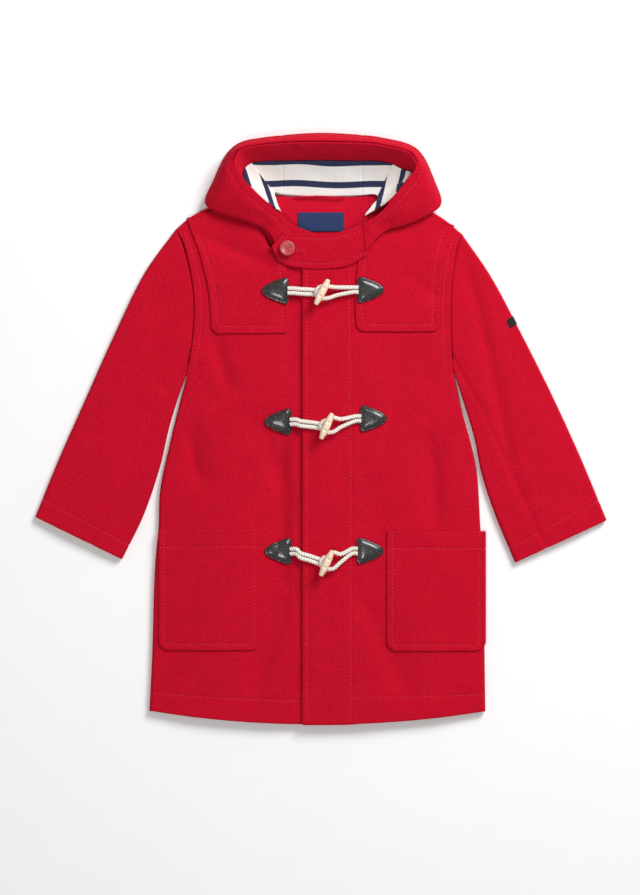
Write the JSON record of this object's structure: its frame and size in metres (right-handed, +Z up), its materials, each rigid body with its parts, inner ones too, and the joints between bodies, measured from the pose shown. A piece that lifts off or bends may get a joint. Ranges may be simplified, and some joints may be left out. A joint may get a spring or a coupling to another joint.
{
  "type": "duffle coat",
  "caption": "Child's hooded wool duffle coat laid flat, with wooden toggles on cord loops, leather patches, shoulder yokes and patch pockets.",
  "frame": {"origin": "middle of the coat's outline on the surface it lies on", "axes": "+Z up from the surface, +Y towards the hood, +X towards the wearer's left"},
  "size_m": [0.6864, 0.71, 0.0461],
  "materials": {
    "wool": "thick felted wool, matt with a soft nap",
    "facing_wool": "the same wool seen inside the coat",
    "jersey": "cotton jersey, off-white with dark blue stripes",
    "label_cloth": "woven label, bare",
    "leather": "grained leather, glossy, stitched",
    "wood": "pale turned wood, satin",
    "cord": "twisted cotton cord",
    "button": "dusty red resin",
    "tag_cloth": "woven tag, bare"
  },
  "bodies": {
    "root": {"back": "wool", "front_right": "wool", "front_left": "wool", "sleeve_upper_right": "wool", "sleeve_under_right": "wool", "sleeve_upper_left": "wool", "sleeve_under_left": "wool", "pocket_right": "wool", "pocket_left": "wool", "yoke_right": "wool", "yoke_left": "wool", "hood_side_right": "wool", "hood_center": "wool", "hood_side_left": "wool", "neck_band": "wool", "hood_facing": "facing_wool", "hood_fold": "facing_wool", "back_neck_facing": "facing_wool", "hanger_loop": "facing_wool", "hood_lining_right": "jersey", "hood_lining_center": "jersey", "hood_lining_left": "jersey", "neck_label": "label_cloth", "sleeve_tag": "tag_cloth", "button": "button", "patch_right_top": "leather", "patch_left_top": "leather", "cord_leg_upper_top": "cord", "cord_leg_lower_top": "cord", "cord_loop_top": "cord", "toggle_top": "wood", "patch_right_middle": "leather", "patch_left_middle": "leather", "cord_leg_upper_middle": "cord", "cord_leg_lower_middle": "cord", "cord_loop_middle": "cord", "toggle_middle": "wood", "patch_right_bottom": "leather", "patch_left_bottom": "leather", "cord_leg_upper_bottom": "cord", "cord_leg_lower_bottom": "cord", "cord_loop_bottom": "cord", "toggle_bottom": "wood"}
  },
  "joints": []
}
